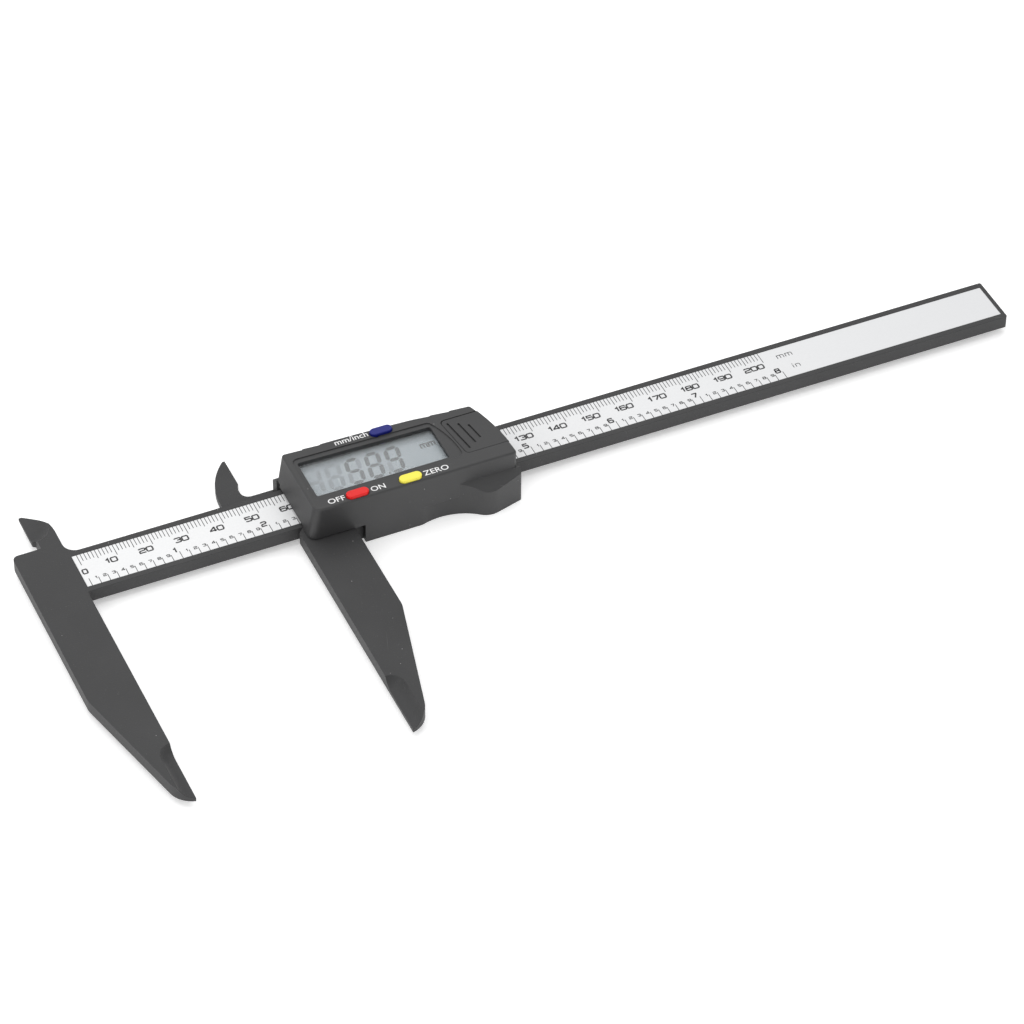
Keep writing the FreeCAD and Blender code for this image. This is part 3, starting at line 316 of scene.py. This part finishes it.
# The display: a cool grey-green layer, a slow sheen across it and a painted shadow: a darker band under its
# far edge, where the window's rim shades it.
def makeDisplayGrey():
    material, tree, shader = newMaterial("displayGrey")
    link = tree.links.new
    place = addNode(tree, "ShaderNodeTexCoord")
    split = addNode(tree, "ShaderNodeSeparateXYZ")
    slow = addNode(tree, "ShaderNodeTexNoise", values={"Scale": 40.0, "Detail": 3.0})
    fine = addNode(tree, "ShaderNodeTexNoise", values={"Scale": 5000.0, "Detail": 2.0})
    paintedShadowBand = addNode(tree, "ShaderNodeMapRange", values={"From Min": 0.0025, "From Max": 0.0055})
    for texture in (slow, fine):
        link(place.outputs["Object"], texture.inputs["Vector"])
    link(place.outputs["Object"], split.inputs[0])
    link(split.outputs["Y"], paintedShadowBand.inputs["Value"])
    tone = mixColour(tree, slow.outputs["Fac"], (0.24, 0.28, 0.305), (0.295, 0.335, 0.36))
    speckled = mixColour(tree, scaled(tree, fine.outputs["Fac"], 0.0, 0.3), tone, (0.22, 0.26, 0.28))
    # painted shadow: the colour darkens towards the display's far edge, where the window's rim shades it
    link(mixColour(tree, scaled(tree, paintedShadowBand.outputs[0], 0.0, 0.7), speckled, (0.13, 0.145, 0.15)),
         shader.inputs["Base Color"])
    link(scaled(tree, slow.outputs["Fac"], 0.2, 0.32), shader.inputs["Roughness"])
    return material


# The clear window: mostly see-through, with smears that add haze.
def makeClearWindow():
    material, tree, shader = newMaterial("clearWindow")
    marks = addNode(tree, "ShaderNodeGroup", {"node_tree": handlingMarks}, {"Turn": 0.9, "Amount": 0.5})
    tree.links.new(scaled(tree, marks.outputs["Smudge"], 0.03, 0.12), shader.inputs["Roughness"])
    haze = scaled(tree, marks.outputs["Smudge"], 0.08, 0.16)
    tree.links.new(haze, shader.inputs["Alpha"])
    tree.links.new(mixColour(tree, marks.outputs["Scratch"], (0.86, 0.9, 0.92), (0.95, 0.95, 0.95)),
                   shader.inputs["Base Color"])
    return material


# Solder resist over woven board, with copper tracks showing as slightly lighter lines.
def makeBoardGreen():
    material, tree, shader = newMaterial("boardGreen")
    link = tree.links.new
    place = addNode(tree, "ShaderNodeTexCoord")
    tracks = addNode(tree, "ShaderNodeTexBrick", {"offset": 0.37}, {
        "Color1": (0.012, 0.11, 0.045, 1.0), "Color2": (0.016, 0.14, 0.055, 1.0),
        "Mortar": (0.03, 0.22, 0.09, 1.0), "Scale": 160.0, "Mortar Size": 0.03})
    weave = addNode(tree, "ShaderNodeTexWave", values={"Scale": 700.0, "Distortion": 0.4})
    link(place.outputs["Object"], tracks.inputs["Vector"])
    link(place.outputs["Object"], weave.inputs["Vector"])
    link(tracks.outputs["Color"], shader.inputs["Base Color"])
    link(scaled(tree, weave.outputs["Fac"], 0.3, 0.45), shader.inputs["Roughness"])
    bump = addNode(tree, "ShaderNodeBump", values={"Strength": 0.2, "Distance": 0.00003})
    link(tracks.outputs["Fac"], bump.inputs["Height"])
    link(bump.outputs["Normal"], shader.inputs["Normal"])
    return material


scaleFilm = makeFilm()
blackInk = makeInk("blackInk", (0.012, 0.012, 0.013), (0.035, 0.035, 0.037), 0.45)
whiteInk = makeInk("whiteInk", (0.78, 0.78, 0.78), (0.9, 0.9, 0.9), 0.5)
segmentInk = makeInk("segmentInk", (0.012, 0.013, 0.016), (0.03, 0.032, 0.036), 0.4)
ghostInk = makeInk("ghostInk", (0.13, 0.15, 0.165), (0.17, 0.19, 0.21), 0.35)
displayGrey = makeDisplayGrey()
clearWindow = makeClearWindow()
boardGreen = makeBoardGreen()

nodeFinishes = {
    "beam": beamPlastic, "stator_strip": boardGreen, "scale_label": scaleFilm,
    "slider_frame": framePlastic, "gib_spring": rolledSteel, "front_housing": shellPlastic,
    "battery_cover": coverPlastic, "display_lens": clearWindow, "display_glass": displayGrey,
    "display_holder": holderPlastic, "contact_strips": softRubber, "display_reflector": holderPlastic,
    "main_board": boardGreen, "board_screws": screwSteel, "controller_chip": chipResin,
    "capacitors": capacitorClay, "off_on_button": redGloss, "zero_button": yellowGloss,
    "unit_button": blueGloss, "button_domes": softRubber, "button_cell": cellSteel,
    "negative_contact": rolledSteel, "positive_contact": rolledSteel, "housing_screws": screwSteel}
for nodeName, finish in nodeFinishes.items():
    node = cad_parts[nodeName]
    node.data.materials.clear()
    node.data.materials.append(finish)
print("finishes placed on", len(nodeFinishes), "parts")


# Each shape is a ring of corners; it becomes a thin closed slab between two heights.
class Slabs:
    def __init__(self):
        self.points = []
        self.faces = []
        self.count = 0

    def addRing(self, ring, bottom, top):
        ring = np.asarray(ring, float)
        number = len(ring)
        low = np.c_[ring, np.full(number, bottom)]
        high = np.c_[ring, np.full(number, top)]
        self.points.append(np.r_[low, high])
        index = self.count + np.arange(number)
        following = np.roll(index, -1)
        self.faces.append(tuple(index[::-1]))
        self.faces.append(tuple(index + number))
        self.faces += [tuple(side) for side in np.c_[index, following, following + number, index + number]]
        self.count += number * 2

    # A stroke is a ribbon of even width. Each corner moves to both sides by its mitre: the sum of the two
    # edges' normals, over that sum's squared length (0.8 at least), times the width.
    def addStroke(self, path, width, closed, bottom, top):
        path = np.asarray(path, float)
        ahead = np.roll(path, -1, axis=0) - path
        if not closed:
            ahead[-1] = ahead[-2]
        ahead /= np.linalg.norm(ahead, axis=1)[:, None]
        behind = np.roll(ahead, 1, axis=0)
        if not closed:
            behind[0] = ahead[0]
        normal = np.c_[-ahead[:, 1], ahead[:, 0]] + np.c_[-behind[:, 1], behind[:, 0]]
        mitre = normal / np.maximum((normal ** 2).sum(axis=1), 0.8)[:, None] * width
        left, right = path + mitre, path - mitre
        number = len(path)
        block = np.r_[np.c_[left, np.full(number, top)], np.c_[right, np.full(number, top)],
                      np.c_[left, np.full(number, bottom)], np.c_[right, np.full(number, bottom)]]
        self.points.append(block)
        index = self.count + np.arange(number if closed else number - 1)
        following = self.count + (np.arange(len(index)) + 1) % number
        for first, second in ((0, 1), (3, 2), (2, 0), (1, 3)):
            quad = np.c_[index + first * number, index + second * number,
                         following + second * number, following + first * number]
            self.faces += [tuple(side) for side in quad]
        if not closed:
            self.addCaps(self.count, number)
        self.count += number * 4

    # The ribbon's first and last cross-section each become one face.
    def addCaps(self, start, number):
        corners = np.array([0, 2, 3, 1]) * number + start
        self.faces.append(tuple(corners))
        self.faces.append(tuple(corners[::-1] + number - 1))

    def makeObject(self, name, finish, body, slot):
        mesh = bpy.data.meshes.new(name)
        mesh.from_pydata((np.concatenate(self.points) * mm).tolist(), [], self.faces)
        mesh.update()
        piece = bpy.data.objects.new(name, mesh)
        bpy.context.scene.collection.objects.link(piece)
        piece.data.materials.append(finish)
        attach(piece, body)
        return piece


# Wide square numerals and three letters, as strokes in a box one wide and one high. True: it closes.
numerals = {
    "0": [([(0.14, 0), (0.86, 0), (1, 0.16), (1, 0.84), (0.86, 1), (0.14, 1), (0, 0.84), (0, 0.16)], True)],
    "1": [([(0.42, 0.72), (0.8, 1), (0.8, 0)], False)],
    "2": [([(0, 0.8), (0.04, 0.95), (0.16, 1), (0.86, 1), (1, 0.9), (1, 0.62), (0.86, 0.52), (0.14, 0.46),
            (0, 0.34), (0, 0), (1.04, 0)], False)],
    "3": [([(0, 0.84), (0.05, 0.96), (0.16, 1), (0.86, 1), (0.98, 0.9), (0.98, 0.64), (0.86, 0.53),
            (0.98, 0.42), (0.98, 0.12), (0.86, 0), (0.14, 0), (0, 0.12)], False),
          ([(0.4, 0.53), (0.86, 0.53)], False)],
    "4": [([(0.8, 0), (0.8, 1), (0.72, 1), (0, 0.32), (0, 0.24), (1.06, 0.24)], False)],
    "5": [([(0.98, 1), (0.04, 1), (0.04, 0.56), (0.86, 0.56), (1, 0.45), (1, 0.12), (0.86, 0), (0.14, 0),
            (0, 0.14)], False)],
    "6": [([(0.96, 0.86), (0.9, 0.97), (0.8, 1), (0.14, 1), (0, 0.86), (0, 0.14), (0.14, 0), (0.86, 0),
            (1, 0.12), (1, 0.44), (0.86, 0.56), (0.04, 0.56)], False)],
    "7": [([(0, 1), (1, 1), (1, 0.86), (0.42, 0)], False)],
    "8": [([(0.14, 0.54), (0.04, 0.64), (0.04, 0.9), (0.16, 1), (0.84, 1), (0.96, 0.9), (0.96, 0.64),
            (0.86, 0.54)], True),
          ([(0.14, 0.54), (0, 0.42), (0, 0.12), (0.14, 0), (0.86, 0), (1, 0.12), (1, 0.42),
            (0.86, 0.54)], True)],
    "9": [([(0.04, 0.14), (0.1, 0.03), (0.2, 0), (0.86, 0), (1, 0.14), (1, 0.86), (0.86, 1), (0.14, 1),
            (0, 0.88), (0, 0.56), (0.14, 0.44), (0.96, 0.44)], False)],
    "m": [([(0, 0), (0, 1), (0.88, 1), (1, 0.86), (1, 0)], False), ([(0.5, 1), (0.5, 0)], False)],
    "i": [([(0.5, 0), (0.5, 1)], False), ([(0.5, 1.25), (0.5, 1.5)], False)],
    "n": [([(0, 0), (0, 1), (0.84, 1), (1, 0.84), (1, 0)], False)],
}


# Letters stand in equal boxes one gap apart, and the last one ends at the right.
def addWord(slabs, word, right, foot, size, gap, stroke, bottom, top):
    wide, high = size
    left = right - len(word) * wide - (len(word) - 1) * gap
    for place, letter in enumerate(word):
        for path, closed in numerals[letter]:
            shape = np.asarray(path) * (wide, high) + (left + place * (wide + gap), foot)
            slabs.addStroke(shape, stroke, closed, bottom, top)


# The printed scale: millimetres hang from the film's far edge, tenths of an inch stand on its near edge.
scale = {
    "zero": 1.98, "farEdge": 6.18, "nearEdge": -6.18, "mark": 0.19, "short": 2.65, "middle": 3.25,
    "long": 4.05, "inchMark": 2.45, "inchLong": 2.85, "numeral": (1.62, 1.62), "gap": 0.42, "foot": 0.05,
    "stroke": 0.44, "inchNumeral": (1.3, 1.62), "inchFoot": -3.35, "tenth": (0.82, 0.86),
    "tenthFoot": -4.15, "tenthStroke": 0.22, "low": -0.01, "high": 0.012, "length": 200, "inches": 8,
    "tenthStep": 2.54, "numeralInset": 0.62, "zeroDrop": 1.35, "zeroNumeral": (1.25, 1.62),
    "inchInset": 0.55, "inchGap": 0.3, "tenthInset": 0.32, "tenthGap": 0.2, "unitEnd": 210.9,
    "unitStroke": 0.22}
unitMarks = {  # word: foot, size of a letter, gap
    "mm": (1.95, (1.9, 1.25), 0.65), "in": (-3.1, (1.15, 1.15), 0.25)}


# A mark is an upright bar of even width about x.
def addMark(slabs, x, foot, head, low, high):
    half = scale["mark"] / 2
    slabs.addRing([(x - half, foot), (x + half, foot), (x + half, head), (x - half, head)], low, high)


# Millimetres stand 1 apart, tenths of an inch 2.54; each tenth mark is long, each fifth millimetre less so.
def makeScalePrint():
    slabs = Slabs()
    low, high = labelTop + scale["low"], labelTop + scale["high"]
    zero, far, near = scale["zero"], scale["farEdge"], scale["nearEdge"]
    for step in range(scale["length"] + 1):
        length = scale["long"] if step % 10 == 0 else scale["middle"] if step % 5 == 0 else scale["short"]
        addMark(slabs, zero + step, far - length, far, low, high)
    for step in range(scale["inches"] * 10 + 1):
        length = scale["inchLong"] if step % 10 == 0 else scale["inchMark"]
        addMark(slabs, zero + step * scale["tenthStep"], near, near + length, low, high)
    for step in range(0, scale["length"] + 1, 10):
        # the zero stands lower and on the other side of its mark
        right = zero + step - scale["numeralInset"] if step else zero + scale["numeralInset"]
        foot = scale["foot"] if step else scale["foot"] - scale["zeroDrop"]
        size = scale["numeral"] if step else scale["zeroNumeral"]
        addWord(slabs, str(step), right, foot, size, scale["gap"], scale["stroke"], low, high)
    for step in range(1, scale["inches"] * 10 + 1):
        x = zero + step * scale["tenthStep"]
        if step % 10 == 0:
            addWord(slabs, str(step // 10), x - scale["inchInset"], scale["inchFoot"], scale["inchNumeral"],
                    scale["inchGap"], scale["stroke"], low, high)
        else:
            addWord(slabs, str(step % 10), x - scale["tenthInset"], scale["tenthFoot"], scale["tenth"],
                    scale["tenthGap"], scale["tenthStroke"], low, high)
    for word, (foot, size, gap) in unitMarks.items():
        addWord(slabs, word, scale["unitEnd"], foot, size, gap, scale["unitStroke"], low, high)
    return slabs.makeObject("scalePrint", blackInk, "beam", "label_white")


makeScalePrint()
print("scale printed")


# The reading: leaning seven-segment figures, each bar a thin slab with pointed ends.
reading = {"left": 17.2, "pitch": 5.72, "wide": 3.3, "high": 8.9, "foot": -5.75, "lean": 0.16, "bar": 1.2,
           "split": 0.16, "low": 0.004, "top": 0.02, "lit": "589", "dotBack": 1.1, "dotDrop": 0.3}
dotShape = [(0, 0), (0.62, 0), (0.66, 0.62), (0.04, 0.62)]
unitSign = {"word": "mm", "right": 43.4, "foot": -0.4, "size": (1.7, 1.6), "gap": 0.55, "stroke": 0.5}
unlitSign = {"word": "in", "right": 43.0, "foot": 1.9, "size": (1.1, 0.95), "gap": 0.25, "stroke": 0.24}
segmentBars = {
    "a": ((0, 1), (1, 1)), "b": ((1, 1), (1, 0.5)), "c": ((1, 0.5), (1, 0)), "d": ((0, 0), (1, 0)),
    "e": ((0, 0.5), (0, 0)), "f": ((0, 1), (0, 0.5)), "g": ((0, 0.5), (1, 0.5))}
figureBars = {"5": "afgcd", "8": "abcdefg", "9": "abcdfg", "1": "bc", "-": "g"}


# A bar is pointed at both ends and reaches its full width half a width in; x grows with height by the lean.
def addFigure(slabs, left, figure, low, high):
    for name in figureBars.get(figure, figure):
        start, end = (np.array(corner, float) * (reading["wide"], reading["high"])
                      for corner in segmentBars[name])
        along = (end - start) / np.linalg.norm(end - start)
        side = np.array((-along[1], along[0])) * reading["bar"] / 2
        inset = along * (reading["bar"] / 2)
        start, end = start + along * reading["split"], end - along * reading["split"]
        ring = np.array([start, start + inset - side, end - inset - side, end, end - inset + side,
                         start + inset + side])
        ring[:, 0] += ring[:, 1] * reading["lean"] + left + opening
        ring[:, 1] += reading["foot"]
        slabs.addRing(ring, low, high)


def addSign(slabs, sign, low, high):
    addWord(slabs, sign["word"], sign["right"] + opening, sign["foot"], sign["size"], sign["gap"],
            sign["stroke"], low, high)


# The dark figures and point, the faint unlit bars in and beside the figures, and the two unit signs.
def makeReading():
    low, high = glassTop + reading["low"], glassTop + reading["top"]
    lit, faint = Slabs(), Slabs()
    for place, figure in enumerate(reading["lit"]):
        left = reading["left"] + place * reading["pitch"]
        addFigure(lit, left, figure, low, high)
        rest = "".join(sorted(set("abcdefg") - set(figureBars[figure])))
        addFigure(faint, left, rest, low, high)
    dot = reading["left"] + reading["pitch"] * 2 - reading["dotBack"] + opening
    lit.addRing(np.array(dotShape) + (dot, reading["foot"] - reading["dotDrop"]), low, high)
    # unlit figures left of the reading show faintly: an eight, and a one with its minus sign
    for place, figures in ((-1, "8"), (-2, "1-")):
        for figure in figures:
            addFigure(faint, reading["left"] + place * reading["pitch"], figure, low, high)
    addSign(lit, unitSign, low, high)
    addSign(faint, unlitSign, low, high)
    lit.makeObject("displayFigures", segmentInk, "slider", "display_glass")
    faint.makeObject("displayGhosts", ghostInk, "slider", "display_glass")


makeReading()
print("display figures made")


# White words beside the buttons, set in the built-in font, made a mesh and stretched to fill their boxes.
words = {  # text, left, right, foot, height
    "off": ("OFF", 7.45, 12.25, -13.05, 1.85), "on": ("ON", 19.7, 23.75, -13.05, 1.85),
    "zero": ("ZERO", 34.9, 42.0, -13.0, 1.85), "unit": ("mm/inch", 17.8, 27.3, 7.55, 1.998)}
inkDepth = {"thickness": 0.022, "sunk": 0.006}


# Each point of the text goes to its share of the text's own box, times the size asked for.
def makeWord(name, text, left, right, foot, high):
    curve = bpy.data.curves.new(name, "FONT")
    curve.body = text
    curve.size = 1.0
    curve.offset = 0.006
    curve.extrude = 0.01
    curve.resolution_u = 4
    source = bpy.data.objects.new(name, curve)
    bpy.context.scene.collection.objects.link(source)
    bpy.context.view_layer.update()
    mesh = bpy.data.meshes.new_from_object(source.evaluated_get(bpy.context.evaluated_depsgraph_get()))
    bpy.data.objects.remove(source)
    points = np.empty(len(mesh.vertices) * 3)
    mesh.vertices.foreach_get("co", points)
    points = points.reshape(-1, 3)
    lowest, highest = points.min(axis=0), points.max(axis=0)
    size = np.array([right - left, high, inkDepth["thickness"]])
    points = (points - lowest) / (highest - lowest) * size
    points += (left + opening, foot, housingTop - inkDepth["sunk"])
    mesh.vertices.foreach_set("co", (points * mm).ravel())
    mesh.update()
    mesh.materials.clear()
    piece = bpy.data.objects.new(name + "Word", mesh)
    bpy.context.scene.collection.objects.link(piece)
    piece.data.materials.append(whiteInk)
    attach(piece, "slider")
    return piece


for wordName, setting in words.items():
    makeWord(wordName, *setting)
print("words made")


# A pale table just under the object's lowest point; a little of its own light keeps it evenly white.
tableTop = {"half": 6.0, "gap": 0.00002, "colour": (0.93, 0.93, 0.93, 1.0), "glow": 0.34}


def makeFloor():
    half = tableTop["half"]
    mesh = bpy.data.meshes.new("floor")
    height = cadBox[0][2] - tableTop["gap"]
    corners = [(-half, -half, height), (half, -half, height), (half, half, height), (-half, half, height)]
    mesh.from_pydata(corners, [], [(0, 1, 2, 3)])
    floor = bpy.data.objects.new("floor", mesh)
    bpy.context.scene.collection.objects.link(floor)
    material, tree, shader = newMaterial("paleFloor")
    shader.inputs["Base Color"].default_value = tableTop["colour"]
    shader.inputs["Roughness"].default_value = 0.8
    shader.inputs["Specular IOR Level"].default_value = 0.1
    shader.inputs["Emission Color"].default_value = (1.0, 1.0, 1.0, 1.0)
    shader.inputs["Emission Strength"].default_value = tableTop["glow"]
    floor.data.materials.append(material)


# A light's own -Z axis is turned onto the line from its place to its target.
def makeLight(name, place, target, size, power):
    light = bpy.data.lights.new(name, "AREA")
    light.shape = "RECTANGLE"
    light.size, light.size_y = size
    light.energy = power
    lamp = bpy.data.objects.new(name, light)
    bpy.context.scene.collection.objects.link(lamp)
    lamp.location = place
    lamp.rotation_euler = (Vector(target) - Vector(place)).to_track_quat("-Z", "Y").to_euler()


studioLights = {  # place, target, size, power
    "overheadSoftbox": ((0.05, 0.25, 0.9), (0.1, 0.0, 0.0), (1.2, 1.0), 4.2),
    "leftSoftbox": ((-0.9, -0.1, 0.5), (0.05, 0.0, 0.0), (0.7, 0.7), 1.8)}
skyStrength = 0.77

makeFloor()
for lightName, setting in studioLights.items():
    makeLight(lightName, *setting)
world = bpy.data.worlds.new("paleStudio")
bpy.context.scene.world = world
world.use_nodes = True
world.node_tree.nodes["Background"].inputs["Color"].default_value = (1.0, 1.0, 1.0, 1.0)
world.node_tree.nodes["Background"].inputs["Strength"].default_value = skyStrength

# The camera: its place, its lens and the directions of its three axes, all in mm or of length one.
view = {"place": (-240.925, -806.733, 806.502), "lens": 155.2156,
        "right": (0.9124934, -0.4090638, 0.0047549), "up": (0.2762337, 0.6246809, 0.7303895),
        "back": (-0.3017462, -0.6651621, 0.6830144)}
camera = bpy.data.objects.new("camera", bpy.data.cameras.new("camera"))
bpy.context.scene.collection.objects.link(camera)
camera.data.lens = view["lens"]
camera.data.sensor_width = 36.0
camera.data.clip_start = 0.05
camera.data.clip_end = 50.0
turned = Matrix((view["right"], view["up"], view["back"])).transposed().to_4x4()
camera.matrix_world = Matrix.Translation(Vector(view["place"]) * mm) @ turned
bpy.context.scene.camera = camera
bpy.context.scene.view_settings.view_transform = "Standard"
print("stage, light and camera ready")
